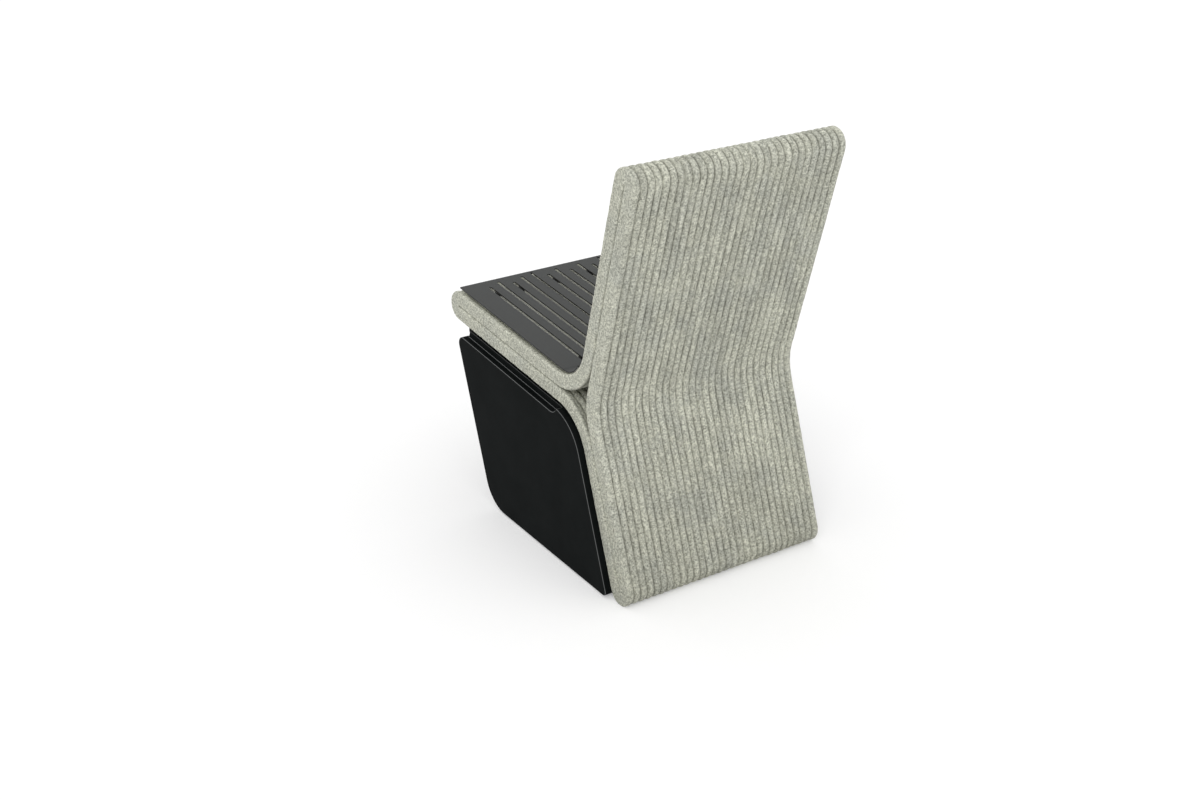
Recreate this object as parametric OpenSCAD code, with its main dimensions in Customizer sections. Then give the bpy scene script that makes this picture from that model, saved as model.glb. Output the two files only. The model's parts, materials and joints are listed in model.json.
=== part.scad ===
// Bench with backrest, made of printed concrete. All lengths are millimetres.
// X runs along the bench, the sitter faces -Y and +Z is up. The floor is z = 0.
// Left is the sitter's left, which is +X.

/* [Concrete body] */
// printed layers, stacked along the length
layer_count = 30; // [6:1:90]
// thickness of one layer
layer_height = 15.5; // [10:0.5:25]
// width of the laid bead; each arm is two beads thick
bead_width = 31.5; // [20:0.5:60]
// how far a layer swells beyond its neighbour's edge
bead_bulge = 3; // [1:0.25:6]
// fall of the seat towards the back, degrees
seat_tilt = 4.7; // [0:0.1:10]
// lean of the backrest from upright, degrees
back_lean = 15.3; // [5:0.1:25]
// lean of the leg from upright, degrees
leg_lean = 20; // [10:0.1:30]
// centre of the seat's nose in front of the middle
nose_ahead = 304.5; // [200:0.5:400]
// height of the nose's centre
nose_height = 404.9; // [340:0.1:470]
// centre of the rounded top behind the middle
top_behind = 304.5; // [200:0.5:400]
// height of the rounded top's centre
top_height = 829.5; // [700:0.5:950]
// centre of the rounded foot behind the middle
foot_behind = 299.5; // [200:0.5:400]
// height of the foot's centre; below the bead width, the foot stands on a flat
foot_height = 28.5; // [20:0.5:60]
// radius between seat and backrest
seat_fillet = 90; // [30:1:120]
// radius of the waist behind the seat
waist_fillet = 110; // [60:1:200]
// radius between the seat's underside and the leg
knee_fillet = 105; // [60:1:160]
// gap where two beads part round the open throat, for each bead
throat_relief = 1.5; // [0.5:0.1:4]
// where two beads part, as a share of the way between their two bends
parting_share = 0.85; // [0.5:0.05:1]
// width of the line between the two beads of an arm
joint_line_width = 2; // [1:0.25:4]
// depth of that line in the end faces
joint_line_depth = 8; // [3:0.5:20]

/* [Seat panels] */
// sheet of the seat panels
panel_sheet = 3; // [2:0.5:6]
// space between panel and concrete
panel_standoff = 9; // [4:0.5:20]
// front edge of the panels behind the nose's centre
panel_setback = 2; // [0:0.5:60]
// outer radius of the bend at the panels' rear
panel_bend = 56; // [20:1:110]
// angle of that bend, degrees
panel_curl = 65; // [20:1:78]
// end panels stop this far inside the concrete's ends
panel_end_inset = 4; // [0.5:0.5:10]
// gap between two panels
panel_gap = 5; // [2:0.5:10]
// width of a drainage slot
slot_width = 7; // [3:0.5:12]
// distance between two slots
slot_pitch = 28; // [20:0.5:40]
// first slot, from the left panel's outer edge
slot_end_margin = 54; // [20:1:80]
// near slots start this far behind the panel's front edge
slot_near = 14; // [5:1:60]
// far slots start this far behind the panel's front edge
slot_far = 30; // [5:1:80]
// end of a far slot before the bend
slot_rear_margin = 10; // [4:1:60]
// shank of a panel stud
stud_diameter = 8; // [5:0.5:12]
// length of a stud below the panel
stud_length = 45; // [25:1:55]
// outer diameter of the spacer round a stud
spacer_diameter = 18; // [12:1:40]
// clearance round a stud, radial
stud_clearance = 0.25; // [0.1:0.05:1]
// distance of the front studs behind the panel's front edge
stud_front = 45; // [30:1:120]
// distance of the rear studs before the bend
stud_rear = 36; // [30:1:120]

/* [Storage box] */
// sheet of the box
box_sheet = 2.5; // [1.5:0.5:5]
// bedding strip between box and concrete
bedding_thickness = 2; // [1:0.5:6]
// width of a bedding strip
bedding_width = 40; // [20:1:80]
// rubber pad under the box
pad_thickness = 3; // [2:0.5:8]
// diameter of a pad
pad_diameter = 40; // [20:1:80]
// outer face of the end frame inside the concrete's end
frame_setback = 8.5; // [4:0.5:30]
// plate of the frames
frame_plate = 4; // [2:0.5:8]
// width of the frames' ring
frame_width = 36; // [30:1:60]
// front of the box behind the front edge of the covers
box_front_setback = 20; // [5:1:50]
// small corner radius of the box
box_corner = 8; // [4:0.5:20]

/* [Side covers] */
// outer face of a cover beyond the concrete's end
cover_stand_out = 11.5; // [6:0.5:30]
// sheet of a cover
cover_sheet = 2; // [1.5:0.25:4]
// depth of a cover's rim
cover_depth = 17.5; // [10:0.5:40]
// length of a cover from front edge to rear edge
cover_length = 440; // [300:1:520]
// gap above a cover
cover_top_gap = 5.8; // [3:0.1:15]
// gap between cover and leg
cover_rear_gap = 1.3; // [0.8:0.1:10]
// gap under a cover
cover_floor_gap = 4; // [3:0.5:15]
// large radius at the bottom front corner
cover_front_radius = 75; // [30:1:120]
// small corner radius
cover_corner = 9; // [4:0.5:20]
// radius at the top front corner, below the step
cover_top_radius = 17; // [9:0.5:30]
// height of the finger step along a cover's top edge
step_height = 15.3; // [12:0.1:30]
// depth of the step, from the outer face to the upstand
step_depth = 14; // [10:0.5:15]
// radius at the rear end of the step
step_radius = 26; // [16:1:60]
// start of that radius before the cover's knee
step_rear_margin = 16; // [0:1:100]
// lean of the upstand's front end, degrees
upstand_lean = 20; // [0:1:45]

/* [Hinges and catches] */
// hinge axis beyond the concrete's end
hinge_out = 5; // [3:0.25:10]
// height of the hinge axis
hinge_height = 10; // [8:0.25:20]
// outer diameter of the knuckles
knuckle_diameter = 8; // [6:0.5:14]
// diameter of the hinge pin
pin_diameter = 4; // [3:0.25:8]
// running clearance in a turning knuckle, radial
pin_clearance = 0.06; // [0.02:0.01:0.1]
// length of the fixed knuckle
block_knuckle = 20; // [10:1:40]
// length of a turning knuckle
leaf_knuckle = 12; // [6:1:30]
// gap between two knuckles
knuckle_gap = 0.5; // [0.2:0.1:2]
// height of the hinge block and of the leaf
hinge_leaf_height = 26; // [16:1:32]
// plate of block and leaf
hinge_plate = 2.5; // [2:0.25:5]
// room in the cover's rim beside a hinge
hinge_room = 4; // [2:0.5:10]
// front hinge, from the front end of the cover's straight bottom edge
hinge_front_margin = 64; // [35:1:160]
// rear hinge, from the rear end of the cover's straight bottom edge
hinge_rear_margin = 51; // [35:1:160]
// hinge screw shank
hinge_screw = 5; // [3:0.5:8]
// spacing of the two screws of a hinge block
hinge_screw_spacing = 11; // [8:0.5:30]
// length of a magnet catch
catch_length = 40; // [20:1:80]
// height of a magnet catch
catch_height = 13; // [8:0.5:20]
// strike plate on the cover
strike_plate = 1.5; // [1:0.25:4]
// air between catch and strike plate
catch_air = 0.2; // [0.1:0.05:1]
// catches, measured from the rear knee towards the front
catch_places = [70, 290]; // [20:1:330]

/* [Fixings] */
// shank of the screws that hold the box
box_screw = 8; // [6:0.5:12]
// washer diameter
washer_diameter = 20; // [14:1:30]
// washer thickness
washer_thickness = 1.6; // [1:0.1:3]
// diameter of the threaded insert
insert_diameter = 14; // [10:0.5:20]
// length of the threaded insert
insert_length = 34; // [20:1:50]
// box screws on each side of the middle
screw_spread = 140; // [60:1:200]
// clearance round a screw, an insert and a welded frame, radial
screw_clearance = 0.15; // [0.05:0.05:1]
// floor anchor hole
anchor_hole = 12; // [8:0.5:20]
// spacing of the anchor holes along the bench
anchor_spacing_x = 300; // [150:5:400]
// spacing of the anchor holes across the bench
anchor_spacing_y = 200; // [100:5:300]

/* [Hidden] */
$fn = 96;

concrete_colour = [0.66, 0.66, 0.60];
panel_colour = [0.22, 0.22, 0.23];
box_colour = [0.10, 0.10, 0.11];
steel_colour = [0.70, 0.71, 0.72];
rubber_colour = [0.06, 0.06, 0.06];

// discs cross straight edges at this overlap, instead of touching them along a tangent
blend = bead_width * 0.0006;
// length by which cutters run past a face
past = bead_width * 0.1;

// directions in the side view, and the normals to their left
function left_of(d) = [-d[1], d[0]];
function angle_of(d) = atan2(d[1], d[0]);
function cross2(a, b) = a[0] * b[1] - a[1] * b[0];
function meet(p, d, q, e) = p + d * cross2(q - p, e) / cross2(d, e);
function reach(p, q, d) = (q - p) * d;

seat_dir = [cos(seat_tilt), -sin(seat_tilt)];
back_dir = [sin(back_lean), cos(back_lean)];
leg_dir = [sin(leg_lean), -cos(leg_lean)];
floor_dir = [-1, 0];
seat_up = left_of(seat_dir);
back_front = left_of(back_dir);
leg_rear = left_of(leg_dir);
floor_down = left_of(floor_dir);

body_length = layer_count * layer_height;
body_end = body_length / 2;
nose_c = [-nose_ahead, nose_height];
top_c = [top_behind, top_height];
foot_c = [foot_behind, foot_height];

// centre of the fillet between two faces: each face moved out by the radius
seat_off = bead_width + seat_fillet;
waist_off = bead_width + waist_fillet;
knee_off = bead_width + knee_fillet;
seat_fillet_c = meet(nose_c + seat_up * seat_off, seat_dir, top_c + back_front * seat_off, back_dir);
waist_fillet_c = meet(top_c - back_front * waist_off, back_dir, foot_c + leg_rear * waist_off, leg_dir);
knee_fillet_c = meet(foot_c - leg_rear * knee_off, leg_dir, nose_c - seat_up * knee_off, seat_dir);

// draws a side view along the bench, from one place on X to another
module along_bench(from, to) {
  rotate([90, 0, 90])
    translate([0, 0, from])
      linear_extrude(to - from)
        children();
}

// places children at a point of the side view, with their Z along a direction of it
module place_on(x, point, direction) {
  translate([x, point[0], point[1]])
    rotate([angle_of(direction) - 90, 0, 0])
      children();
}

module disc(c, r) {
  translate(c)
    circle(r = r);
}

module both_ends() {
  children();
  mirror([1, 0, 0])
    children();
}

// Rounded loops: each side is a point, its direction and its outward normal.
// A corner's radius shrinks with the inset and never falls under the smallest one.
function side_at(s, off) = [s[0] - s[2] * off, s[1], s[2]];
function corner_radius(r, inset, least) = max(r - inset, least);
function corner_centre(a, b, off) = meet(side_at(a, off)[0], a[1], side_at(b, off)[0], b[1]);

module rounded_block(sides, radii, inset, least, from, to) {
  n = len(sides);
  r = [for (i = [0 : n - 1]) corner_radius(radii[i], inset, least)];
  c = [for (i = [0 : n - 1]) corner_centre(sides[i], sides[(i + 1) % n], inset + r[i])];
  along_bench(from, to)
    polygon([
      for (i = [0 : n - 1])
        for (s = [sides[i], sides[(i + 1) % n]])
          c[i] + s[2] * r[i]
    ]);
  for (i = [0 : n - 1])
    along_bench(from, to)
      disc(c[i], r[i] + blend);
}

// Concrete body

// share of the layer from, to, and share of the bulge that is missing there
layer_steps = [[0, 0.12, 1], [0.12, 0.27, 0.3], [0.27, 0.73, 0], [0.73, 0.88, 0.3], [0.88, 1, 1]];

// distance from an arm's tip to where its two beads part, on the way to two fillets
function between(a, b, share) = min(a, b) + abs(a - b) * share;
function parting(tip, a, b, d) = between(reach(tip, a, d), reach(tip, b, d), parting_share);
seat_parting = parting(nose_c, seat_fillet_c, knee_fillet_c, seat_dir);
back_parting = parting(top_c, seat_fillet_c, waist_fillet_c, -back_dir);
leg_parting = parting(foot_c, waist_fillet_c, knee_fillet_c, -leg_dir);

// the open throat where the three beads part
module throat(inset) {
  bead = bead_width - throat_relief - inset;
  difference() {
    polygon([
      nose_c + seat_dir * seat_parting,
      top_c - back_dir * back_parting,
      foot_c - leg_dir * leg_parting
    ]);
    disc(seat_fillet_c, seat_fillet + bead);
    disc(waist_fillet_c, waist_fillet + bead);
    disc(knee_fillet_c, knee_fillet + bead);
  }
}

// the closed loop of one layer in side view, drawn in by the inset
module layer_outline(inset) {
  half = bead_width - inset;
  seat_r = seat_fillet + inset;
  waist_r = waist_fillet + inset;
  knee_r = knee_fillet + inset;
  difference() {
    union() {
      polygon([
        nose_c + seat_up * half,
        seat_fillet_c - seat_up * seat_r,
        seat_fillet_c - back_front * seat_r,
        top_c + back_front * half,
        top_c - back_front * half,
        waist_fillet_c + back_front * waist_r,
        waist_fillet_c - leg_rear * waist_r,
        foot_c + leg_rear * half,
        foot_c - leg_rear * half,
        knee_fillet_c + leg_rear * knee_r,
        knee_fillet_c + seat_up * knee_r,
        nose_c - seat_up * half
      ]);
      disc(nose_c, half + blend);
      disc(top_c, half + blend);
      disc(foot_c, half + blend);
    }
    disc(seat_fillet_c, seat_r + blend);
    disc(waist_fillet_c, waist_r + blend);
    disc(knee_fillet_c, knee_r + blend);
    throat(inset);
  }
}

module layer_stack() {
  for (i = [0 : layer_count - 1])
    for (s = layer_steps)
      along_bench((i + s[0]) * layer_height - body_end, (i + s[1]) * layer_height - body_end)
        layer_outline(s[2] * bead_bulge);
}

// the line between the two beads of an arm, seen on both end faces
module joint_line(start, direction, length) {
  both_ends()
    translate([body_end - joint_line_depth, start[0], start[1]])
      rotate([angle_of(direction), 0, 0])
        translate([0, 0, -joint_line_width / 2])
          cube([joint_line_depth + past, length, joint_line_width]);
}

module printed_concrete_body() {
  foot_flat = [body_length + 2 * past, 4 * bead_width, bead_width];
  color(concrete_colour)
    difference() {
      layer_stack();
      translate([-foot_flat[0] / 2, foot_behind - foot_flat[1] / 2, -foot_flat[2]])
        cube(foot_flat);
      joint_line(nose_c, seat_dir, seat_parting + past);
      joint_line(top_c, -back_dir, back_parting + past);
      joint_line(foot_c, -leg_dir, leg_parting + past);
      for (x = stud_x)
        for (p = stud_points)
          place_on(x, p, -seat_up) {
            cylinder(h = stud_length + past - panel_standoff, d = stud_diameter + 2 * stud_clearance);
            translate([0, 0, -past])
              cylinder(h = spacer_seat + past, d = spacer_diameter + 2 * stud_clearance);
          }
      for (place = box_screw_places)
        place_on(place[0], place[1], place[2])
          translate([0, 0, -past])
            cylinder(h = insert_length + past, d = insert_diameter + 2 * screw_clearance);
    }
}

// Seat panels

panel_bottom = bead_width + panel_standoff;
panel_top = panel_bottom + panel_sheet;
bend_inner = panel_bend - panel_sheet;
bend_off = panel_bottom + panel_bend;
bend_c = meet(nose_c + seat_up * bend_off, seat_dir, top_c + back_front * bend_off, back_dir);
bend_start = reach(nose_c, bend_c, seat_dir);
bend_end_angle = angle_of(-seat_up) + panel_curl;
bend_end = [cos(bend_end_angle), sin(bend_end_angle)];

// lines across the seat, from left to right: F is a far slot, N a near slot, J a joint
line_pattern = "FNFNJFNFNFJNFN";
line_count = len(line_pattern);
function line_x(i) = body_end - panel_end_inset - slot_end_margin - i * slot_pitch;

// the bent sheet: an outer shape without an inner one, cut off where the bend ends
module bent_sheet(from, to) {
  front_low = nose_c + seat_dir * panel_setback + seat_up * panel_bottom;
  front_high = front_low + seat_up * panel_sheet;
  front_past = front_high - seat_dir * past;
  above = 3 * panel_bend;
  difference() {
    union() {
      along_bench(from, to)
        polygon([front_low, bend_c - seat_up * panel_bend, bend_c, front_high]);
      along_bench(from, to)
        disc(bend_c, panel_bend + blend);
    }
    along_bench(from - past, to + past)
      polygon([
        front_past,
        bend_c - seat_up * bend_inner,
        bend_c + bend_end * bend_inner,
        bend_c + bend_end * above,
        bend_c + bend_end * above + seat_up * above,
        front_past + seat_up * above
      ]);
    along_bench(from - past, to + past)
      disc(bend_c, bend_inner + blend);
  }
}

// a round-ended slot between two distances behind the panel's front edge
module slot_cutter(x, from, to) {
  r = slot_width / 2;
  ends = [for (t = [from + r, to - r]) nose_c + seat_dir * (panel_setback + t) + seat_up * (panel_bottom - past)];
  for (p = ends)
    place_on(x, p, seat_up)
      cylinder(h = panel_sheet + 2 * past, r = r + blend);
  place_on(x, ends[0], seat_up)
    translate([-r, 0, 0])
      cube([slot_width, to - from - slot_width, panel_sheet + 2 * past]);
}

module seat_panel(from, to) {
  rear = bend_start - panel_setback - slot_rear_margin;
  color(panel_colour)
    difference() {
      bent_sheet(from, to);
      for (i = [0 : line_count - 1])
        if (line_pattern[i] != "J" && line_x(i) > from && line_x(i) < to)
          if (line_pattern[i] == "F")
            slot_cutter(line_x(i), slot_far, rear);
          else
            slot_cutter(line_x(i), slot_near, rear + slot_near - slot_far);
    }
}

panel_end = body_end - panel_end_inset;
joint_x = [for (i = [0 : line_count - 1]) if (line_pattern[i] == "J") line_x(i)];
module seat_panel_left() {
  seat_panel(joint_x[0] + panel_gap / 2, panel_end);
}
module seat_panel_middle() {
  seat_panel(joint_x[1] + panel_gap / 2, joint_x[0] - panel_gap / 2);
}
module seat_panel_right() {
  seat_panel(-panel_end, joint_x[1] - panel_gap / 2);
}

// studs stand between the slots, in two rows under each panel
stud_x = [for (i = [0.5, 2.5, 5.5, 8.5, 11.5, 13.5]) line_x(i)];
stud_along = [panel_setback + stud_front, bend_start - stud_rear];
stud_points = [for (t = stud_along) nose_c + seat_dir * t + seat_up * bead_width];
spacer_seat = bead_bulge + past / 4;

module panel_studs() {
  color(steel_colour)
    for (x = stud_x)
      for (p = stud_points)
        place_on(x, p + seat_up * panel_standoff, -seat_up)
          cylinder(h = stud_length, d = stud_diameter);
}

module panel_spacers() {
  tall = panel_standoff + spacer_seat;
  color(rubber_colour)
    for (x = stud_x)
      for (p = stud_points)
        place_on(x, p + seat_up * panel_standoff, -seat_up)
          difference() {
            cylinder(h = tall, d = spacer_diameter);
            translate([0, 0, -past])
              cylinder(h = tall + 2 * past, d = stud_diameter + 2 * stud_clearance);
          }
}

// Side covers and storage box: both are slanted four-sided loops

function loop_sides(top_gap, rear_gap, floor_gap, front_point) = [
  [nose_c - seat_up * (bead_width + top_gap), seat_dir, seat_up],
  [foot_c - leg_rear * (bead_width + rear_gap), leg_dir, leg_rear],
  [[foot_behind, floor_gap], floor_dir, floor_down],
  [front_point, -leg_dir, -leg_rear]
];

cover_front = foot_c - leg_rear * (bead_width + cover_rear_gap) - [cover_length, 0];
cover_sides = loop_sides(cover_top_gap, cover_rear_gap, cover_floor_gap, cover_front);
step_sides = loop_sides(cover_top_gap + step_height, cover_rear_gap, cover_floor_gap, cover_front);
cover_radii = [knee_fillet - cover_top_gap, cover_corner, cover_front_radius, cover_top_radius];
cover_outer = body_end + cover_stand_out;
cover_inner = cover_outer - cover_sheet;
cover_back = cover_outer - cover_depth;
cover_top_left = meet(cover_sides[0][0], seat_dir, cover_sides[3][0], leg_dir);
cover_knee = meet(cover_sides[0][0], seat_dir, cover_sides[1][0], leg_dir);
cover_top_length = norm(cover_knee - cover_top_left);

box_front = cover_front + leg_rear * box_front_setback;
box_sides = loop_sides(bedding_thickness, bedding_thickness, pad_thickness, box_front);
box_radii = [knee_fillet - bedding_thickness, box_corner, cover_front_radius - box_front_setback, box_corner];
frame_outer = body_end - frame_setback;
box_end = frame_outer - frame_plate;

// the straight part of a loop's bottom edge, from its front end to its rear end
function bottom_edge(sides, radii) = [
  corner_centre(sides[2], sides[3], radii[2])[0],
  corner_centre(sides[1], sides[2], radii[1])[0]
];
cover_bottom = bottom_edge(cover_sides, cover_radii);
box_bottom = bottom_edge(box_sides, box_radii);
anchor_middle = (box_bottom[0] + box_bottom[1]) / 2;
hinge_places = [cover_bottom[0] + hinge_front_margin, cover_bottom[1] - hinge_rear_margin];

module cover_block(inset, from, to) {
  rounded_block(cover_sides, cover_radii, inset, cover_corner / 3, from, to);
}

module box_block(inset, from, to) {
  rounded_block(box_sides, box_radii, inset, box_corner / 2, from, to);
}

// side view along the cover's top edge: x along the edge from its front end, y up
module top_edge_frame() {
  translate(cover_top_left)
    rotate(-seat_tilt)
      children();
}

knee_bend = (knee_fillet - cover_top_gap) * tan((90 - leg_lean - seat_tilt) / 2);
step_end = cover_top_length - knee_bend - step_rear_margin;
upstand_face = cover_outer - step_depth;
upstand_start = reach(cover_top_left, corner_centre(step_sides[3], step_sides[0], cover_top_radius), seat_dir);

// side view: what lies behind the rounded rear end of the step
module behind_step(inset) {
  top_edge_frame()
    difference() {
      translate([step_end, -cover_length])
        square([cover_length, cover_length + past]);
      disc([step_end, step_radius - step_height], step_radius + inset + blend);
    }
}

// side view: what lies behind the leaning front end of the upstand
module behind_upstand_front() {
  lean = step_height * tan(upstand_lean);
  top_edge_frame()
    polygon([
      [upstand_start - lean, -2 * step_height],
      [cover_length, -2 * step_height],
      [cover_length, step_height],
      [upstand_start + 2 * lean, step_height]
    ]);
}

// the cover drawn in by the inset: the part below the step, the knee behind it and the upstand
module cover_form(inset, from, to, upstand_to) {
  rounded_block(step_sides, cover_radii, inset, cover_corner / 3, from, to);
  intersection() {
    cover_block(inset, from, to);
    along_bench(from - past, to + past)
      behind_step(inset);
  }
  intersection() {
    cover_block(inset, from, upstand_to);
    along_bench(from - past, upstand_to + past)
      behind_upstand_front();
  }
}

module side_cover() {
  color(box_colour)
    difference() {
      cover_form(0, cover_back, cover_outer, upstand_face);
      cover_form(cover_sheet, cover_back - past, cover_inner, upstand_face - cover_sheet);
      for (y = hinge_places)
        hinge_notch(y);
    }
}

module side_cover_left() {
  side_cover();
}
module side_cover_right() {
  mirror([1, 0, 0])
    side_cover();
}

// the loop of a frame, cut from plate
module ring_frame(from, to) {
  difference() {
    box_block(0, from, to);
    box_block(frame_width, from - past, to + past);
  }
}

module box_end_frame() {
  color(box_colour)
    difference() {
      ring_frame(box_end, frame_outer);
      for (y = hinge_places)
        hinge_screw_holes(y);
    }
}

module box_end_frame_left() {
  box_end_frame();
}
module box_end_frame_right() {
  mirror([1, 0, 0])
    box_end_frame();
}

// the middle frame stiffens the shell from inside
module box_middle_frame() {
  color(box_colour)
    difference() {
      box_block(box_sheet + screw_clearance, -frame_plate / 2, frame_plate / 2);
      box_block(frame_width, -frame_plate, frame_plate);
    }
}

module box_shell() {
  color(box_colour)
    difference() {
      box_block(0, -box_end, box_end);
      box_block(box_sheet, -box_end - past, box_end + past);
      for (place = box_screw_places)
        place_on(place[0], place[1], place[2])
          translate([0, 0, -bedding_thickness - box_sheet - past])
            cylinder(h = box_sheet + 2 * past, d = box_screw + 4 * stud_clearance);
      for (x = [-1, 1])
        for (y = [-1, 1])
          translate([x * anchor_spacing_x / 2, anchor_middle + y * anchor_spacing_y / 2, pad_thickness - past])
            cylinder(h = box_sheet + 2 * past, d = anchor_hole);
    }
}

// Bedding, screws and inserts between the box and the concrete

knee_on_top = reach(nose_c, knee_fillet_c, seat_dir);
knee_on_leg = reach(foot_c, knee_fillet_c, -leg_dir);
front_strip = bead_width * 3;
rear_strip = knee_on_top - bead_width * 1.5;
leg_strip = knee_on_leg - bead_width * 3;
strip_places = [
  [nose_c + seat_dir * front_strip - seat_up * bead_width, seat_up],
  [nose_c + seat_dir * rear_strip - seat_up * bead_width, seat_up],
  [foot_c - leg_dir * leg_strip - leg_rear * bead_width, leg_rear]
];
box_screw_places = [for (s = strip_places) for (x = [-screw_spread, screw_spread]) [x, s[0], s[1]]];

module bedding_strips() {
  color(rubber_colour)
    difference() {
      for (s = strip_places)
        place_on(0, s[0], s[1])
          translate([-box_end, -bedding_width / 2, -bedding_thickness])
            cube([2 * box_end, bedding_width, bedding_thickness]);
      for (place = box_screw_places)
        place_on(place[0], place[1], place[2])
          translate([0, 0, -bedding_thickness - past])
            cylinder(h = bedding_thickness + 2 * past, d = box_screw + 4 * stud_clearance);
    }
}

module box_screws() {
  under = bedding_thickness + box_sheet + washer_thickness;
  head_height = box_screw * 0.55;
  color(steel_colour)
    for (place = box_screw_places)
      place_on(place[0], place[1], place[2]) {
        translate([0, 0, -under])
          cylinder(h = under + insert_length * 0.8, d = box_screw);
        difference() {
          translate([0, 0, -under - head_height])
            cylinder(h = head_height, d = box_screw * 1.75);
          translate([0, 0, -under - head_height - past])
            cylinder(h = head_height / 2 + past, d = box_screw * 0.7, $fn = 6);
        }
      }
}

module box_washers() {
  under = bedding_thickness + box_sheet + washer_thickness;
  color(steel_colour)
    for (place = box_screw_places)
      place_on(place[0], place[1], place[2])
        translate([0, 0, -under])
          difference() {
            cylinder(h = washer_thickness, d = washer_diameter);
            translate([0, 0, -past])
              cylinder(h = washer_thickness + 2 * past, d = box_screw + 2 * stud_clearance);
          }
}

module concrete_inserts() {
  color(steel_colour)
    for (place = box_screw_places)
      place_on(place[0], place[1], place[2])
        difference() {
          cylinder(h = insert_length, d = insert_diameter);
          translate([0, 0, -past])
            cylinder(h = insert_length * 0.85 + past, d = box_screw + 2 * screw_clearance);
        }
}

module box_pads() {
  spread_x = box_end - pad_diameter;
  pad_y = [box_bottom[0] + pad_diameter, box_bottom[1] - pad_diameter];
  color(rubber_colour)
    for (x = [-spread_x, spread_x])
      for (y = pad_y)
        translate([x, y, 0])
          cylinder(h = pad_thickness, d = pad_diameter);
}

// Hinges: a fixed block between two turning knuckles, on one pin

hinge_x = body_end + hinge_out;
hinge_length = block_knuckle + 2 * leaf_knuckle + 2 * knuckle_gap;
knuckle_r = knuckle_diameter / 2;
hinge_low = hinge_height - knuckle_r;
screw_height = hinge_low + hinge_leaf_height * 0.75;

// draws a front view along the depth, centred on a place
module across_depth(y, length) {
  translate([0, y + length / 2, 0])
    rotate([90, 0, 0])
      linear_extrude(length)
        children();
}

module hinge_block(y) {
  foot = [frame_outer, hinge_low];
  difference() {
    across_depth(y, block_knuckle) {
      translate(foot)
        square([hinge_plate, hinge_leaf_height]);
      polygon([
        foot,
        [hinge_x, hinge_low],
        [hinge_x, hinge_height + knuckle_r],
        [frame_outer + hinge_plate, hinge_height + knuckle_diameter]
      ]);
      disc([hinge_x, hinge_height], knuckle_r);
    }
    across_depth(y, block_knuckle + 2 * past)
      disc([hinge_x, hinge_height], pin_diameter / 2 + pin_clearance);
    hinge_screw_holes(y);
  }
}

module hinge_screw_holes(y) {
  for (s = [-1, 1])
    translate([box_end - past, y + s * hinge_screw_spacing / 2, screw_height])
      rotate([0, 90, 0])
        cylinder(h = frame_plate + hinge_plate + 2 * past, d = hinge_screw + 2 * screw_clearance);
}

module hinge_blocks() {
  color(steel_colour)
    for (y = hinge_places)
      hinge_block(y);
}

module hinge_screws() {
  head = hinge_screw * 0.5;
  color(steel_colour)
    for (y = hinge_places)
      for (s = [-1, 1])
        translate([frame_outer + hinge_plate, y + s * hinge_screw_spacing / 2, screw_height])
          rotate([0, 90, 0]) {
            translate([0, 0, -hinge_plate - frame_plate])
              cylinder(h = hinge_plate + frame_plate, d = hinge_screw);
            difference() {
              cylinder(h = head, d = hinge_screw * 1.8);
              translate([0, 0, head / 2])
                cylinder(h = head, d = hinge_screw * 0.7, $fn = 6);
            }
          }
}

module hinge_pins() {
  color(steel_colour)
    for (y = hinge_places)
      across_depth(y, hinge_length)
        disc([hinge_x, hinge_height], pin_diameter / 2);
}

module hinge_leaf(y) {
  knuckle_y = (block_knuckle + leaf_knuckle) / 2 + knuckle_gap;
  above = knuckle_diameter * 0.75;
  difference() {
    union() {
      across_depth(y, hinge_length)
        translate([cover_inner - hinge_plate, hinge_height + above])
          square([hinge_plate, hinge_leaf_height - knuckle_r - above]);
      for (s = [-1, 1])
        across_depth(y + s * knuckle_y, leaf_knuckle) {
          translate([cover_inner - hinge_plate, hinge_height])
            square([hinge_plate, hinge_leaf_height - knuckle_r]);
          disc([hinge_x, hinge_height], knuckle_r);
        }
    }
    across_depth(y, hinge_length + 2 * past)
      disc([hinge_x, hinge_height], pin_diameter / 2 + pin_clearance);
  }
}

module hinge_leaves() {
  color(steel_colour)
    for (y = hinge_places)
      hinge_leaf(y);
}

// the cover's rim is open beside a hinge, so that the block stays clear
module hinge_notch(y) {
  translate([cover_back - past, y - hinge_length / 2 - hinge_room, cover_floor_gap - past])
    cube([cover_depth - cover_sheet + past, hinge_length + 2 * hinge_room, cover_sheet + 2 * past]);
}

// Magnet catches under the step

catch_drop = step_height + cover_sheet * 2 + catch_height / 2;

module at_catches() {
  for (t = catch_places)
    place_on(0, cover_knee - seat_dir * t - seat_up * catch_drop, seat_up)
        children();
}

module catch_bodies() {
  deep = cover_inner - strike_plate - catch_air - frame_outer;
  color(rubber_colour)
    at_catches()
      translate([frame_outer, -catch_length / 2, -catch_height / 2])
        cube([deep, catch_length, catch_height]);
}

module strike_plates() {
  color(steel_colour)
    at_catches()
      translate([cover_inner - strike_plate, -catch_length / 2, -catch_height / 2])
        cube([strike_plate, catch_length, catch_height]);
}

module other_end() {
  mirror([1, 0, 0])
    children();
}

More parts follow.
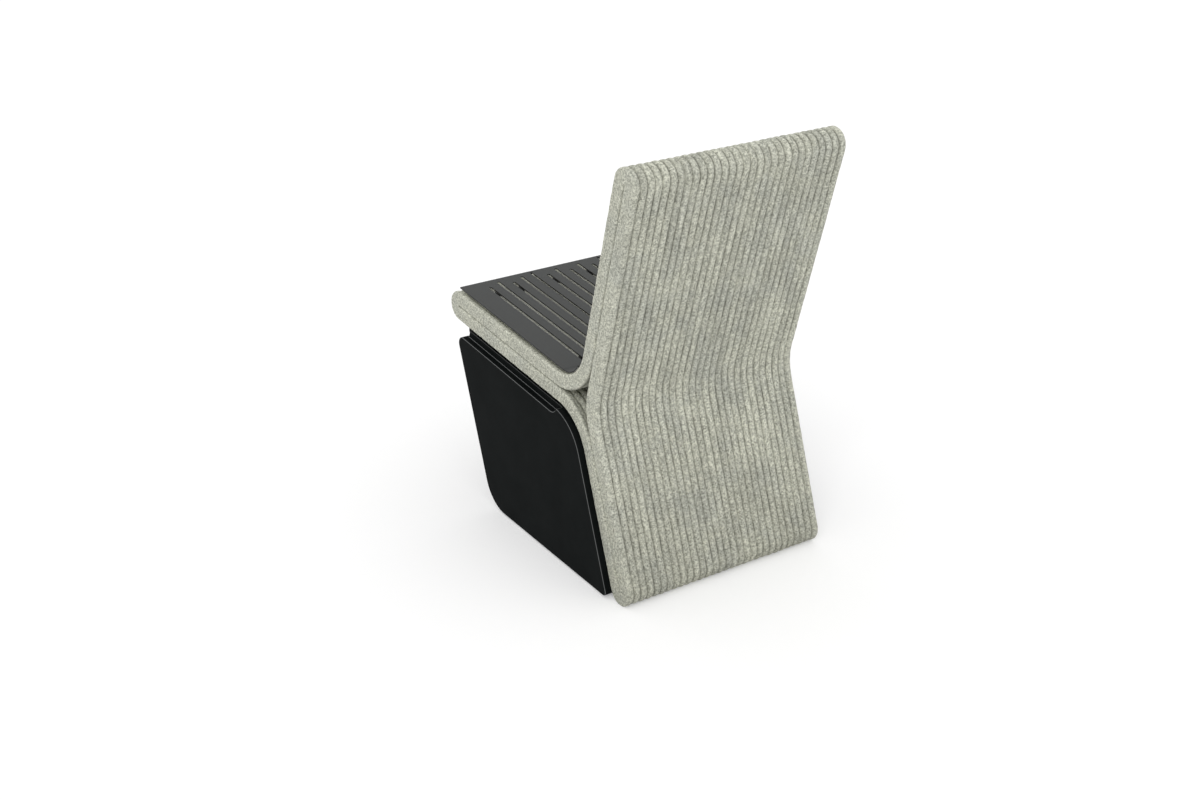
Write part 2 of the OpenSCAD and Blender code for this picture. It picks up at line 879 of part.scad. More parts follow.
printed_concrete_body();
seat_panel_left();
seat_panel_middle();
seat_panel_right();
panel_studs();
panel_spacers();
box_shell();
box_end_frame_left();
box_end_frame_right();
box_middle_frame();
bedding_strips();
box_screws();
box_washers();
concrete_inserts();
box_pads();
side_cover_left();
side_cover_right();
hinge_blocks();  // hinge_blocks_left
other_end() hinge_blocks();  // hinge_blocks_right
hinge_screws();  // hinge_screws_left
other_end() hinge_screws();  // hinge_screws_right
hinge_pins();  // hinge_pins_left
other_end() hinge_pins();  // hinge_pins_right
hinge_leaves();  // hinge_leaves_left
other_end() hinge_leaves();  // hinge_leaves_right
catch_bodies();  // catch_bodies_left
other_end() catch_bodies();  // catch_bodies_right
strike_plates();  // strike_plates_left
other_end() strike_plates();  // strike_plates_right
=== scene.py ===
import json
import math

import bpy
import numpy as np
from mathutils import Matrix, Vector, noise


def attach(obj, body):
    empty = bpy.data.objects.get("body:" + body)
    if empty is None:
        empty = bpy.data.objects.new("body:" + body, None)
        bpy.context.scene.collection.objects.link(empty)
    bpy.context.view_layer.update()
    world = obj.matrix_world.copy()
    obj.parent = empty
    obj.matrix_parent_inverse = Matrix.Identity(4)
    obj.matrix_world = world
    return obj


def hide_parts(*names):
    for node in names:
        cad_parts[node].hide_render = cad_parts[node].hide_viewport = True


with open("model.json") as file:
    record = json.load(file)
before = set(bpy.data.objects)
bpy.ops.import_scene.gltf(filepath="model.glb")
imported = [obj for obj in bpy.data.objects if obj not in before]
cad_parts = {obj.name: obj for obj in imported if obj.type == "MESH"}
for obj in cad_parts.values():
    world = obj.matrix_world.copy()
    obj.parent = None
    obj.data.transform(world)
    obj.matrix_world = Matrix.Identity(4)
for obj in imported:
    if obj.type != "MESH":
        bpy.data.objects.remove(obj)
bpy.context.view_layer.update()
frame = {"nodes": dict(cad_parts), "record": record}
nodes = frame["nodes"]
scene = bpy.context.scene
MM = 0.001

# camera, fitted to the photo's edges
AZIMUTH = math.radians(146.76)
ELEVATION = math.radians(25.56)
TARGET = Vector((0.0, -0.1210, 0.2011))
DISTANCE = 3.384
LENS, SENSOR = 48.0, 36.0
CLIP_NEAR, CLIP_FAR = 0.05, 60.0


def look_from(azimuth, elevation, distance, target):
    """Where a camera stands; azimuth 0 is the bench's front, and 90 degrees its left end."""
    away = Vector((
        math.sin(azimuth) * math.cos(elevation),
        -math.cos(azimuth) * math.cos(elevation),
        math.sin(elevation),
    ))
    return target + away * distance


def aim(obj, target):
    obj.rotation_euler = (Vector(target) - obj.location).to_track_quat("-Z", "Y").to_euler()


scene.view_settings.view_transform = "Standard"
cam_data = bpy.data.cameras.new("camera")
cam_data.sensor_width = SENSOR
cam_data.lens = LENS
cam_data.clip_start = CLIP_NEAR
cam_data.clip_end = CLIP_FAR
cam = bpy.data.objects.new("camera", cam_data)
scene.collection.objects.link(cam)
cam.location = look_from(AZIMUTH, ELEVATION, DISTANCE, TARGET)
aim(cam, TARGET)
scene.camera = cam


# helpers for nodes and meshes
class Nodes:
    """Adds nodes to one tree and wires them."""

    def __init__(self, tree):
        self.tree = tree

    def new(self, kind):
        return self.tree.nodes.new(kind)

    def link(self, a, b):
        self.tree.links.new(a, b)

    def feed(self, socket, value):
        """Sets a socket to a number or to a colour without alpha, or links an output to it."""
        if isinstance(value, (int, float)):
            socket.default_value = value
        elif isinstance(value, tuple):
            socket.default_value = value + (1.0,)
        else:
            self.link(value, socket)

    def coords(self, kind="Object"):
        return self.new("ShaderNodeTexCoord").outputs[kind]

    def split(self, vector):
        n = self.new("ShaderNodeSeparateXYZ")
        self.link(vector, n.inputs[0])
        return n.outputs

    def shifted(self, vector, amount):
        """The same coordinates moved aside, so that two noises have nothing in common."""
        n = self.new("ShaderNodeMapping")
        n.inputs["Location"].default_value = (amount, amount * 0.7, amount * 1.3)
        self.link(vector, n.inputs["Vector"])
        return n.outputs["Vector"]

    def noise(self, vector, scale, detail=3.0, roughness=0.55):
        n = self.new("ShaderNodeTexNoise")
        n.inputs["Scale"].default_value = scale
        n.inputs["Detail"].default_value = detail
        n.inputs["Roughness"].default_value = roughness
        self.link(vector, n.inputs["Vector"])
        return n.outputs["Fac"]

    def voronoi(self, vector, scale):
        n = self.new("ShaderNodeTexVoronoi")
        n.inputs["Scale"].default_value = scale
        self.link(vector, n.inputs["Vector"])
        return n.outputs["Distance"]

    def remap(self, value, low, high, to_low=0.0, to_high=1.0):
        n = self.new("ShaderNodeMapRange")
        n.inputs["From Min"].default_value = low
        n.inputs["From Max"].default_value = high
        n.inputs["To Min"].default_value = to_low
        n.inputs["To Max"].default_value = to_high
        self.link(value, n.inputs["Value"])
        return n.outputs["Result"]

    def maths(self, operation, a, b=0.0):
        n = self.new("ShaderNodeMath")
        n.operation = operation
        self.feed(n.inputs[0], a)
        self.feed(n.inputs[1], b)
        return n.outputs[0]

    def mix(self, factor, a, b, blend="MIX"):
        n = self.new("ShaderNodeMix")
        n.data_type = "RGBA"
        n.blend_type = blend
        self.feed(n.inputs[0], factor)
        self.feed(n.inputs[6], a)
        self.feed(n.inputs[7], b)
        return n.outputs[2]

    def bump(self, height, strength, distance):
        n = self.new("ShaderNodeBump")
        n.inputs["Strength"].default_value = strength
        n.inputs["Distance"].default_value = distance
        self.link(height, n.inputs["Height"])
        return n.outputs["Normal"]

    def attribute(self, name):
        n = self.new("ShaderNodeAttribute")
        n.attribute_name = name
        return n.outputs["Fac"]


class Paint(Nodes):
    """The nodes of one material, new or made before."""

    def __init__(self, mat):
        mat.use_nodes = True
        super().__init__(mat.node_tree)
        self.mat = mat
        self.bsdf = self.tree.nodes["Principled BSDF"]
        self.out = self.tree.nodes["Material Output"]

    @classmethod
    def named(cls, name):
        return cls(bpy.data.materials.new(name))

    def base_colour(self):
        """What feeds the shader's colour so far."""
        return self.bsdf.inputs["Base Color"].links[0].from_socket


def add_object(name, verts, faces, mat):
    mesh = bpy.data.meshes.new(name)
    mesh.from_pydata(verts, [], faces)
    mesh.materials.append(mat)
    mesh.update()
    obj = bpy.data.objects.new(name, mesh)
    scene.collection.objects.link(obj)
    return obj


# colours of the concrete: its sand, its specks, the painted shade of its grooves, the painted light under
# the panels, and the tints that darken it
SAND_DARK = (0.305, 0.310, 0.256)
SAND_LIGHT = (0.955, 0.960, 0.812)
SAND_MEAN = (0.560, 0.565, 0.480)
DARK_SPECK = (0.170, 0.172, 0.145)
PALE_FLECK = (0.930, 0.930, 0.810)
# painted shade: darker in the grooves between the layers and faintly on their flanks
PAINTED_GROOVE_SHADE = (0.150, 0.151, 0.123)
# painted light: the seat's concrete under the panels is painted lighter, as if lit through the slots
UNDER_PANEL_LIGHT = (0.900, 0.900, 0.840)
PATCH_TINT = (0.850, 0.862, 0.905)
RIB_TINT = (0.850, 0.850, 0.850)
CLOUD_TINT = (0.890, 0.890, 0.890)
FOOT_TINT = (0.820, 0.815, 0.800)
FOOT_HEIGHT = 0.40  # in metres; the foot's tint fades out up to here


def concrete_material():
    """Speckled grey-green sand with grey patches, painted shade in the grooves, a darker foot and painted
    light on the seat under the panels.
    """
    m = Paint.named("printed concrete")
    at = m.coords()
    grain = m.noise(at, scale=245, detail=3, roughness=0.65)
    fine = m.noise(m.shifted(at, 5.1), scale=640, detail=2, roughness=0.6)
    mottle = m.noise(at, scale=75, detail=3, roughness=0.6)
    patch = m.noise(at, scale=15, detail=4, roughness=0.6)
    cloud = m.noise(at, scale=7, detail=3, roughness=0.6)
    groove, painted_light_mask, rib = m.attribute("groove"), m.attribute("painted_light_mask"), m.attribute("rib")

    mixed = m.maths("ADD", m.maths("MULTIPLY", grain, 0.62), m.maths("MULTIPLY", fine, 0.38))
    tone = m.mix(m.remap(mixed, 0.405, 0.585), SAND_DARK, SAND_LIGHT)
    tone = m.mix(m.remap(mottle, 0.36, 0.64, 0.0, 0.34), tone, SAND_MEAN)
    tone = m.mix(m.remap(patch, 0.46, 0.64, 0.0, 0.60), tone, PATCH_TINT, "MULTIPLY")
    tone = m.mix(m.remap(rib, 0.30, 0.70), tone, RIB_TINT, "MULTIPLY")
    tone = m.mix(m.remap(cloud, 0.40, 0.66, 0.0, 0.60), tone, CLOUD_TINT, "MULTIPLY")

    specks = m.remap(m.voronoi(at, scale=240), 0.12, 0.26, 1.0, 0.0)
    some = m.remap(m.noise(at, scale=130, detail=2), 0.50, 0.58)
    tone = m.mix(m.maths("MULTIPLY", specks, some), tone, DARK_SPECK)
    flecks = m.remap(m.voronoi(m.shifted(at, 3.7), scale=250), 0.12, 0.24, 1.0, 0.0)
    few = m.remap(m.noise(m.shifted(at, 1.3), scale=110, detail=2), 0.50, 0.59)
    tone = m.mix(m.maths("MULTIPLY", flecks, few), tone, PALE_FLECK)

    # the painted groove shade, made patchy along the grooves by this noise
    painted_light = m.remap(m.noise(m.shifted(at, 2.2), scale=24, detail=4), 0.36, 0.62, 0.28, 0.90)
    tone = m.mix(m.maths("MULTIPLY", groove, painted_light), tone, PAINTED_GROOVE_SHADE)
    # painted light on the seat under the panels
    tone = m.mix(m.maths("MULTIPLY", painted_light_mask, 0.85), tone, UNDER_PANEL_LIGHT)
    foot = m.remap(m.split(at)[2], 0.0, FOOT_HEIGHT, 0.85, 0.0)
    tone = m.mix(foot, tone, FOOT_TINT, "MULTIPLY")
    m.link(tone, m.bsdf.inputs["Base Color"])

    m.bsdf.inputs["Roughness"].default_value = 0.92
    m.bsdf.inputs["Specular IOR Level"].default_value = 0.25
    height = m.maths("ADD", grain, m.maths("MULTIPLY", fine, 0.45))
    height = m.maths("ADD", height, m.maths("MULTIPLY", mottle, 1.4))
    m.link(m.bump(height, strength=0.8, distance=0.0020), m.bsdf.inputs["Normal"])
    return m.mat


def coated_material(name, colour, roughness, gloss, grain_scale, grain_height, dust):
    """A matt or satin coat of paint with a fine grain, a faint bloom and light specks."""
    m = Paint.named(name)
    m.bsdf.inputs["Specular IOR Level"].default_value = gloss
    at = m.coords()
    cloud = m.noise(at, scale=14, detail=4, roughness=0.6)
    peel = m.noise(at, grain_scale, detail=2, roughness=0.5)
    speck = m.noise(at, grain_scale * 0.4, detail=3, roughness=0.7)
    bloom = tuple(c * (1.0 + dust) + 0.004 for c in colour)
    light_speck = tuple(c * 1.5 + 0.006 for c in colour)
    tone = m.mix(m.remap(cloud, 0.3, 0.7), colour, bloom)
    tone = m.mix(m.remap(speck, 0.58, 0.75, 0.0, 0.35), tone, light_speck)
    m.link(tone, m.bsdf.inputs["Base Color"])
    uneven = m.remap(m.maths("ADD", cloud, speck), 0.7, 1.3, roughness - 0.05, roughness + 0.05)
    m.link(uneven, m.bsdf.inputs["Roughness"])
    m.link(m.bump(peel, strength=0.5, distance=grain_height), m.bsdf.inputs["Normal"])
    return m.mat


def steel_material():
    """Plain stainless steel with streaks along the depth of the bench."""
    m = Paint.named("stainless steel")
    streak = m.new("ShaderNodeMapping")
    streak.inputs["Scale"].default_value = (1.0, 0.05, 1.0)
    m.link(m.coords(), streak.inputs["Vector"])
    lines = m.noise(streak.outputs["Vector"], scale=1500, detail=3, roughness=0.6)
    tone = m.mix(m.remap(lines, 0.3, 0.7), (0.50, 0.50, 0.51), (0.66, 0.66, 0.66))
    m.link(tone, m.bsdf.inputs["Base Color"])
    m.bsdf.inputs["Metallic"].default_value = 1.0
    m.link(m.remap(lines, 0.3, 0.7, 0.28, 0.42), m.bsdf.inputs["Roughness"])
    m.link(m.bump(lines, strength=0.15, distance=0.0002), m.bsdf.inputs["Normal"])
    return m.mat


def rubber_material():
    m = Paint.named("rubber")
    grain = m.noise(m.coords(), scale=700, detail=3, roughness=0.6)
    tone = m.mix(m.remap(grain, 0.3, 0.7), (0.018, 0.018, 0.018), (0.040, 0.040, 0.040))
    m.link(tone, m.bsdf.inputs["Base Color"])
    m.link(m.remap(grain, 0.3, 0.7, 0.62, 0.80), m.bsdf.inputs["Roughness"])
    m.link(m.bump(grain, strength=0.3, distance=0.0003), m.bsdf.inputs["Normal"])
    return m.mat


def sheet_sides(mat, dark, pale):
    """The cut walls of a panel's slots and ends take the dark colour, a painted shade in the slots; its
    hidden underside takes the pale one, which reflects light onto the concrete below.
    """
    m = Paint(mat)
    normal = m.split(m.coords("Normal"))
    across = m.remap(m.maths("ABSOLUTE", normal[0]), 0.45, 0.85)
    tone = m.mix(across, m.base_colour(), dark)
    m.link(m.mix(m.maths("LESS_THAN", normal[2], -0.6), tone, pale), m.bsdf.inputs["Base Color"])


# the covers' upstand, in metres: inside this x, and above this height at y = 0, along the seat's slope
UPSTAND_FACE, UPSTAND_LOW, SEAT_SLOPE = 0.2330, 0.3344, 0.0822


def keep_upstand_dark(mat, dark):
    """The edge coat's painted highlight is left off the upstand along the covers' top, where the edges
    take the dark colour.
    """
    m = Paint(mat)
    x, y, z = m.split(m.coords())
    outer = m.maths("GREATER_THAN", m.maths("ABSOLUTE", x), UPSTAND_FACE)
    level = m.maths("ADD", z, m.maths("MULTIPLY", y, SEAT_SLOPE))
    highlighted = m.maths("MAXIMUM", outer, m.maths("LESS_THAN", level, UPSTAND_LOW))
    m.link(m.mix(highlighted, dark, m.base_colour()), m.bsdf.inputs["Base Color"])


concrete = concrete_material()
panel_paint = coated_material(
    "panel powder coat", (0.0415, 0.0440, 0.0425), roughness=0.52, gloss=0.25,
    grain_scale=1400, grain_height=0.00025, dust=0.12,
)
cover_paint = coated_material(
    "box satin coat", (0.0048, 0.0060, 0.0060), roughness=0.46, gloss=0.010,
    grain_scale=900, grain_height=0.00012, dust=0.10,
)
panel_edge = coated_material(
    "panel coat at edges", (0.040, 0.042, 0.040), roughness=0.40, gloss=0.40,
    grain_scale=1400, grain_height=0.00020, dust=0.30,
)
# the box's edge coat is far lighter than its face: a painted highlight along the rounded edges
cover_edge_highlight = coated_material(
    "box edges painted highlight", (0.088, 0.092, 0.092), roughness=0.36, gloss=0.50,
    grain_scale=900, grain_height=0.00012, dust=0.30,
)
steel = steel_material()
rubber = rubber_material()
keep_upstand_dark(cover_edge_highlight, (0.006, 0.007, 0.007))
# painted shade on the slots' walls, and a pale underside that lights the concrete under the panels
sheet_sides(panel_paint, dark=(0.007, 0.007, 0.007), pale=(0.740, 0.740, 0.720))
sheet_sides(panel_edge, dark=(0.007, 0.007, 0.007), pale=(0.040, 0.042, 0.040))

FINISH = {"concrete": concrete, "panel": panel_paint, "box": cover_paint, "steel": steel, "rubber": rubber}
for part in frame["record"]["subparts"]:
    obj = nodes[part["node"]]
    obj.data.materials.clear()
    obj.data.materials.append(FINISH[part["material_slot"]])

# printed concrete, in millimetres; an arm of the loop is two beads thick
LAYERS = 30
LAYER = 15.5
LENGTH = LAYERS * LAYER
BEAD = 31.5
BULGE = 4.2  # how far the middle of a layer stands out beyond its grooves
STEEP_SHARE, STEEP_POWER = 0.3, 2.4  # the share of a superellipse in a bead's face, and its power
STEP = 6.0  # between the mesh's rows along the loop
ROUND_STEP = 0.6 * STEP  # the same round the nose, the top and the foot
# places of the mesh's points across a layer, from -1 to 1, outside and at the joint of the two beads
OUTER_PLACES = (-1.0, -0.93, -0.74, -0.40, 0.0, 0.40, 0.74, 0.93)
INNER_PLACES = (-1.0, -0.80, -0.30, 0.30, 0.80)
# roundings of the end faces: how far along the bench, and how deep
END_ROUND = (4.6, 3.4)
JOINT_ROUND = (6.0, 4.5)
END_CUTS, FACE_CUTS, JOINT_CUTS = 5, 7, 4  # steps of the mesh in each
FLANK_SHADE = 0.16  # the painted shade on a bead's flanks, where the groove has 1
GROOVE_POWER = 6  # the higher, the narrower is the painted shade in a groove
JOINT_SHARE = 0.9  # of the bulge, on the faces at the joint of the two beads
END_GROOVE = 0.16  # the end faces take this much painted groove shade, so they are painted a little darker
END_RUN = 8.0  # this close to the ends the layers don't wander
# the part of the seat under the panels that is painted lighter, a painted light as if lit through the
# slots: its start behind the nose's centre, its end behind the centre of the seat's fillet, and its
# distance from the end faces
PAINTED_LIGHT_FRONT, PAINTED_LIGHT_REAR, PAINTED_LIGHT_SIDE = 12.0, 20.0, 22.0

SEAT_TILT, BACK_LEAN, LEG_LEAN = 4.7, 15.3, 20.0
SEAT_R, WAIST_R, KNEE_R = 90.0, 110.0, 105.0


def direction(degrees):
    return np.array([math.cos(math.radians(degrees)), math.sin(math.radians(degrees))])


def left_of(d):
    return np.array([-d[1], d[0]])


def meet(p, d, q, e):
    """Where the line through p along d crosses the line through q along e."""
    cross = d[0] * e[1] - d[1] * e[0]
    away = q - p
    return p + d * (away[0] * e[1] - away[1] * e[0]) / cross


# the side view has y and z of the bench; an arm's middle line runs through its end's centre
seat_dir = direction(-SEAT_TILT)
back_dir = direction(90 - BACK_LEAN)
leg_dir = direction(-90 + LEG_LEAN)
seat_up, back_front, leg_rear = left_of(seat_dir), left_of(back_dir), left_of(leg_dir)
nose_c = np.array([-304.5, 404.9])
top_c = np.array([304.5, 829.5])
foot_c = np.array([299.5, 28.5])


def fillet_centre(a, normal_a, dir_a, b, normal_b, dir_b, radius):
    off = BEAD + radius
    return meet(a + normal_a * off, dir_a, b + normal_b * off, dir_b)


seat_c = fillet_centre(nose_c, seat_up, seat_dir, top_c, back_front, back_dir, SEAT_R)
waist_c = fillet_centre(top_c, -back_front, back_dir, foot_c, leg_rear, leg_dir, WAIST_R)
knee_c = fillet_centre(foot_c, -leg_rear, leg_dir, nose_c, -seat_up, seat_dir, KNEE_R)


def line(start, end, normal):
    count = max(2, round(np.linalg.norm(end - start) / STEP))
    return [(start + (end - start) * i / count, normal) for i in range(count)]


def arc(centre, radius, start, end, side, step=STEP):
    """Points round a centre from one direction to another; side is 1 if it lies in the concrete."""
    a = math.atan2(start[1], start[0])
    b = math.atan2(end[1], end[0])
    turn = (b - a + math.pi) % (2 * math.pi) - math.pi
    if side > 0 and turn > 0:
        turn -= 2 * math.pi
    count = max(4, round(abs(turn) * radius / step))
    points = []
    for i in range(count):
        t = a + turn * i / count
        d = np.array([math.cos(t), math.sin(t)])
        points.append((centre + d * radius, d * side))
    return points


def contour():
    """The loop's outer outline with its outward normals, clockwise from the nose."""
    w = BEAD
    return (
        line(nose_c + seat_up * w, seat_c - seat_up * SEAT_R, seat_up)
        + arc(seat_c, SEAT_R, -seat_up, -back_front, -1)
        + line(seat_c - back_front * SEAT_R, top_c + back_front * w, back_front)
        + arc(top_c, w, back_front, -back_front, 1, ROUND_STEP)
        + line(top_c - back_front * w, waist_c + back_front * WAIST_R, -back_front)
        + arc(waist_c, WAIST_R, back_front, -leg_rear, -1)
        + line(waist_c - leg_rear * WAIST_R, foot_c + leg_rear * w, leg_rear)
        + arc(foot_c, w, leg_rear, -leg_rear, 1, ROUND_STEP)
        + line(foot_c - leg_rear * w, knee_c + leg_rear * KNEE_R, -leg_rear)
        + arc(knee_c, KNEE_R, leg_rear, seat_up, -1)
        + line(knee_c + seat_up * KNEE_R, nose_c - seat_up * w, -seat_up)
        + arc(nose_c, w, -seat_up, seat_up, 1, ROUND_STEP)
    )


def layer_inset(s):
    """How far a bead's face lies inside its widest line; s runs from -1 to 1 across the layer."""
    steep = 1.0 - (1.0 - abs(s) ** STEEP_POWER) ** (1.0 / STEEP_POWER)
    return BULGE * ((1.0 - STEEP_SHARE) * s * s + STEEP_SHARE * steep)


def joint_depth(s):
    """The beads' inner faces are a little flatter, and touch at the middle of each layer."""
    return BEAD - JOINT_SHARE * layer_inset(s)


# painted shade, narrow and full in the groove between two layers
def joint_shade_mark(s):
    return abs(s) ** GROOVE_POWER


def groove_shade_mark(s):
    """Painted shade lies thinly on a bead's flanks and fully in the groove."""
    return FLANK_SHADE * s * s + (1.0 - FLANK_SHADE) * joint_shade_mark(s)


def across_layers(places, depth, groove):
    """Points over all layers, without the outer halves of the first and the last one."""
    points = []
    for i in range(LAYERS):
        for s in places:
            if (i == 0 and s < 0) or (i == LAYERS - 1 and s > 0):
                continue
            x = -LENGTH / 2 + (i + (s + 1) / 2) * LAYER
            points.append((x, depth(s), groove(s)))
    return points


def end_face(side):
    """The flat end of a bead between its two roundings, from outside to the joint of the beads."""
    (long, deep), (joint_long, joint_deep) = END_ROUND, JOINT_ROUND
    end = LENGTH / 2
    points = []
    for k in range(1, END_CUTS + 1):
        t = math.radians(90 * k / END_CUTS)
        points.append((side * (end - long * (1 - math.sin(t))), deep * (1 - math.cos(t)), 0.0))
    for k in range(1, FACE_CUTS):
        points.append((side * end, deep + (BEAD - joint_deep - 2 * deep) * k / FACE_CUTS, END_GROOVE))
    # the rounding into the joint of the two beads is painted darker and darker: painted shade in the
    # crease
    for k in range(JOINT_CUTS + 1):
        t = math.radians(90 * k / JOINT_CUTS)
        x = side * (end - joint_long * (1 - math.cos(t)))
        points.append((x, BEAD - joint_deep + joint_deep * math.sin(t), (k / JOINT_CUTS) ** 2))
    return points


def section():
    """A bead cut across: x along the bench, depth below the outline, and 0 to 1 for the painted groove
    shade.
    """
    outer = across_layers(OUTER_PLACES, layer_inset, groove_shade_mark)
    inner = across_layers(INNER_PLACES, joint_depth, joint_shade_mark)
    return outer + end_face(1) + inner[::-1] + end_face(-1)[::-1]


def wave(*place):
    """Smooth noise from -1 to 1."""
    return noise.noise(Vector(place))


def under_panels(point, normal):
    """The seat's upper face under the panels, which is painted lighter here, as if lit through the slots.
    """
    return nose_c[0] + PAINTED_LIGHT_FRONT < point[0] < seat_c[0] + PAINTED_LIGHT_REAR and normal[1] > 0.5


# cells of noise per millimetre; in the calls of wave, bare numbers only keep the noises apart
SLOW, QUICK, LUMPY, DRIFT, TWITCH, RIB_RUN = 0.016, 0.075, 0.11, 0.026, 0.09, 0.011
DRIFT_ACROSS, TWITCH_ACROSS = 0.05, 0.07
# how far a bead's face sinks in: on the whole, and with the slow, quick and lumpy noise
SINK, SINK_SLOW, SINK_QUICK, SINK_LUMPY = 0.50, 0.42, 0.34, 0.20
# how far the end faces sink in, and how far the layers wander along the bench
END_SINK, END_LUMPY, END_QUICK = 0.35, 0.35, 0.2
WANDER, WANDER_QUICK = 0.9, 0.25
RIB_MEAN, RIB_SPREAD = 0.5, 0.6


def printed_body(name):
    """The whole loop, each bead uneven in its own way, with marks that the material reads: painted groove
    shade, painted light under the panels and a random tone per rib.
    """
    path = contour()
    ring = section()
    spots = np.array([spot for spot, _ in path])
    normals = np.array([normal for _, normal in path])
    length = np.concatenate([[0.0], np.cumsum(np.linalg.norm(np.diff(spots, axis=0), axis=1))])
    rows, cols = len(path), len(ring)
    verts = np.zeros((rows, cols, 3))
    grooves = np.zeros((rows, cols))
    painted_light_mask = np.zeros((rows, cols))
    ribs = np.full((rows, cols), RIB_MEAN)
    for j, (x, depth, groove) in enumerate(ring):
        layer = math.floor((x + LENGTH / 2) / LAYER)
        outside = depth < BEAD / 2
        for i in range(rows):
            slow = wave(length[i] * SLOW, layer * 7.3, depth * 0.02)
            quick = wave(length[i] * QUICK, layer * 3.1, 5.0)
            lumpy = wave(spots[i][0] * LUMPY + 40, spots[i][1] * LUMPY, x * LUMPY)
            at = depth
            if outside:
                at += SINK + SINK_SLOW * slow + SINK_QUICK * quick + SINK_LUMPY * lumpy
            if abs(x) < LENGTH / 2 - END_RUN:
                shift = WANDER * wave(length[i] * DRIFT, x * DRIFT_ACROSS, 9.0)
                shift += WANDER_QUICK * wave(length[i] * TWITCH, x * TWITCH_ACROSS, 19.0)
                along = x + shift
                ribs[i, j] += RIB_SPREAD * wave(length[i] * RIB_RUN, layer * 5.1, 77.0)
            else:
                along = x - math.copysign(END_SINK + END_LUMPY * lumpy + END_QUICK * quick, x)
            y, z = spots[i] - normals[i] * at
            verts[i, j] = (along, y, max(z, 0.0))
            grooves[i, j] = groove
            # the seat's upper face under the panels gets the painted light
            if outside and abs(x) < LENGTH / 2 - PAINTED_LIGHT_SIDE and under_panels(spots[i], normals[i]):
                painted_light_mask[i, j] = 1.0
    index = np.arange(rows * cols).reshape(rows, cols)
    beside = np.roll(index, -1, axis=1)
    faces = [index, beside, np.roll(beside, -1, axis=0), np.roll(index, -1, axis=0)]
    faces = np.stack(faces, axis=-1).reshape(-1, 4)
    obj = add_object(name, (verts.reshape(-1, 3) * MM).tolist(), faces.tolist(), concrete)
    for title, values in (("groove", grooves), ("painted_light_mask", painted_light_mask), ("rib", ribs)):
        mark = obj.data.attributes.new(title, "FLOAT", "POINT")
        mark.data.foreach_set("value", values.reshape(-1).astype(np.float32))
    obj.data.polygons.foreach_set("use_smooth", [True] * len(obj.data.polygons))
    obj.data.update()
    return obj


body = printed_body("ribbed_concrete_loop")
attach(body, "bench")
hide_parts("printed_concrete_body")

# rounded edges of the sheet metal, in metres
SAME_POINT = 0.00002
FLAT_ANGLE, SHARP_ANGLE = math.radians(0.5), math.radians(35.0)


def soften(obj, width, segments, painted_light):
    """Rounds a sheet part's edges, keeps its flats flat and gives the edges a coat of their own, which on
    the box and covers is a painted highlight.
    """
    obj.data.materials.append(painted_light)
    joined = obj.modifiers.new("joined corners", "WELD")
    joined.merge_threshold = SAME_POINT
    clean = obj.modifiers.new("flat faces", "DECIMATE")
    clean.decimate_type = "DISSOLVE"
    clean.angle_limit = FLAT_ANGLE
    edge = obj.modifiers.new("rounded edges", "BEVEL")
    edge.width = width
    edge.segments = segments
    edge.limit_method = "ANGLE"
    edge.angle_limit = SHARP_ANGLE
    edge.harden_normals = True
    edge.use_clamp_overlap = False
    edge.material = 1  # the coat added last, on the box and covers a painted highlight


for name in ("seat_panel_left", "seat_panel_middle", "seat_panel_right"):
    soften(nodes[name], width=0.0007, segments=2, painted_light=panel_edge)
# under half of the covers' 2 mm sheet, so that the two sides of an edge don't cross
for name in ("side_cover_left", "side_cover_right"):
    soften(nodes[name], width=0.0009, segments=3, painted_light=cover_edge_highlight)
soften(nodes["box_shell"], width=0.0010, segments=2, painted_light=cover_edge_highlight)

# clips between the seat panels, in millimetres
PANEL_SETBACK, PANEL_GAP, PANEL_SHEET = 2.0, 9.0, 3.0
JOINTS, JOINT_WIDTH = (62.5, -105.5), 5.0
# along a clip: places from the panels' front end, and how much smaller the clip is there
CLIP_ROWS = ((0.0, 0.35), (0.4, 0.0), (6.6, 0.0), (7.0, 0.35))
CLIP_END_NARROWING = 0.06
CLIP_TOP = PANEL_SHEET - 0.1
CLIP_WEB = JOINT_WIDTH / 2
CLIP_FOOT, CLIP_FOOT_HEIGHT = CLIP_WEB + 3.5, 1.6
EDGE_ACROSS, EDGE_DOWN, TIP_DOWN = 0.5, 0.3, 0.6
# the right half of a clip cut across, from the top down; up 0 is the panels' lower face
CLIP_HALF = [
    (CLIP_WEB - EDGE_ACROSS, CLIP_TOP), (CLIP_WEB, CLIP_TOP - EDGE_DOWN), (CLIP_WEB, 0.0),
    (CLIP_FOOT, 0.0), (CLIP_FOOT + EDGE_ACROSS, -TIP_DOWN), (CLIP_FOOT, -CLIP_FOOT_HEIGHT),
]
CLIP_OUTLINE = CLIP_HALF + [(-across, up) for across, up in CLIP_HALF[::-1]]


def joint_clips(name):
    """A rubber clip closes each joint of the seat panels in front: a web in the gap, a foot below."""
    verts, faces = [], []
    for x in JOINTS:
        rows = []
        for t, shrink in CLIP_ROWS:
            row = []
            for across, up in CLIP_OUTLINE:
                height = BEAD + PANEL_GAP + up - math.copysign(shrink, up)
                y, z = nose_c + seat_dir * (PANEL_SETBACK + t) + seat_up * height
                row.append(len(verts))
                across_here = across * (1 - CLIP_END_NARROWING * shrink)
                verts.append(((x + across_here) * MM, y * MM, z * MM))
            rows.append(row)
        for a, b in zip(rows, rows[1:]):
            for i in range(len(CLIP_OUTLINE)):
                k = (i + 1) % len(CLIP_OUTLINE)
                faces.append((a[i], a[k], b[k], b[i]))
        faces.append(rows[0][::-1])
        faces.append(rows[-1])
    return add_object(name, verts, faces, rubber)


clips = joint_clips("panel_joint_clips")
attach(clips, "bench")

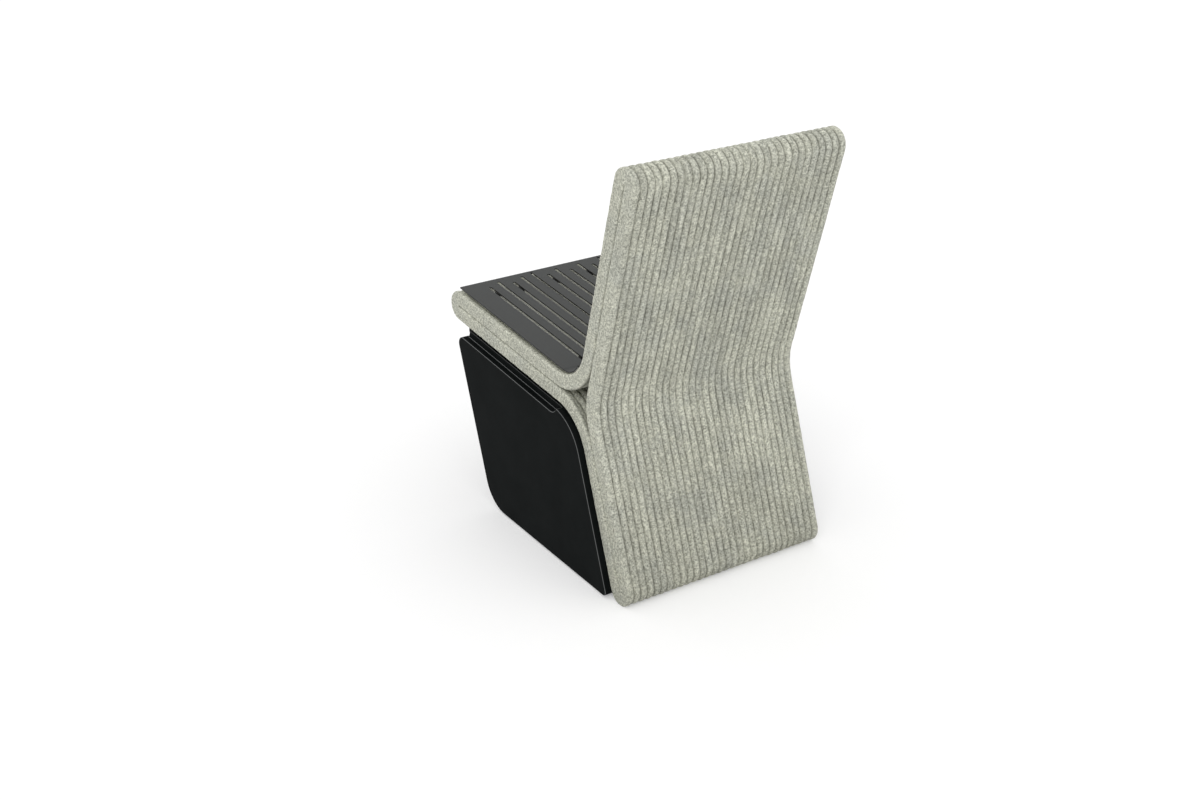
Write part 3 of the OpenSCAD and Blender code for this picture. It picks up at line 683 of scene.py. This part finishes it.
# floor and light
FLOOR_HALF = 14.0
FLOOR_LEVEL = -0.0004  # just below the part, so that the two don't flicker
FLOOR_COLOUR = (0.80, 0.80, 0.80, 1)
FLOOR_GLOW = 0.30
WHITE = (1, 1, 1, 1)
DOME_LIGHT, DOME_SEEN = 0.86, 1.0


def floor_material():
    """A pale matt floor, which the camera and mirrors see as white as the background."""
    m = Paint.named("floor")
    diffuse = m.new("ShaderNodeBsdfDiffuse")
    diffuse.inputs["Color"].default_value = FLOOR_COLOUR
    glow = m.new("ShaderNodeEmission")
    glow.inputs["Color"].default_value = WHITE
    glow.inputs["Strength"].default_value = FLOOR_GLOW
    both = m.new("ShaderNodeAddShader")
    ray = m.new("ShaderNodeLightPath").outputs
    seen = m.maths("MAXIMUM", ray["Is Camera Ray"], ray["Is Glossy Ray"])
    pick = m.new("ShaderNodeMixShader")
    m.link(diffuse.outputs[0], both.inputs[0])
    m.link(glow.outputs[0], both.inputs[1])
    m.link(seen, pick.inputs[0])
    m.link(diffuse.outputs[0], pick.inputs[1])
    m.link(both.outputs[0], pick.inputs[2])
    m.link(pick.outputs[0], m.out.inputs["Surface"])
    return m.mat


def studio_world():
    """A white dome all round, dimmer as a light than where it is seen."""
    world = bpy.data.worlds.new("studio")
    world.use_nodes = True
    w = Nodes(world.node_tree)
    w.tree.nodes.clear()
    out = w.new("ShaderNodeOutputWorld")
    back = w.new("ShaderNodeBackground")
    back.inputs["Color"].default_value = WHITE
    ray = w.new("ShaderNodeLightPath").outputs
    seen = w.maths("MAXIMUM", ray["Is Camera Ray"], ray["Is Transmission Ray"])
    seen = w.maths("MAXIMUM", seen, ray["Is Glossy Ray"])
    w.link(w.remap(seen, 0.0, 1.0, DOME_LIGHT, DOME_SEEN), back.inputs["Strength"])
    w.link(back.outputs[0], out.inputs["Surface"])
    return world


corners = [(x * FLOOR_HALF, y * FLOOR_HALF, 0) for x, y in ((-1, -1), (1, -1), (1, 1), (-1, 1))]
floor = add_object("floor", corners, [(0, 1, 2, 3)], floor_material())
floor.location.z = FLOOR_LEVEL

scene.world = studio_world()

sun_data = bpy.data.lights.new("soft key", "SUN")
sun_data.energy = 0.45
sun_data.angle = math.radians(24)
sun = bpy.data.objects.new("soft key", sun_data)
scene.collection.objects.link(sun)
sun.location = (2.5, 2.0, 3.0)
aim(sun, (0, 0, 0))
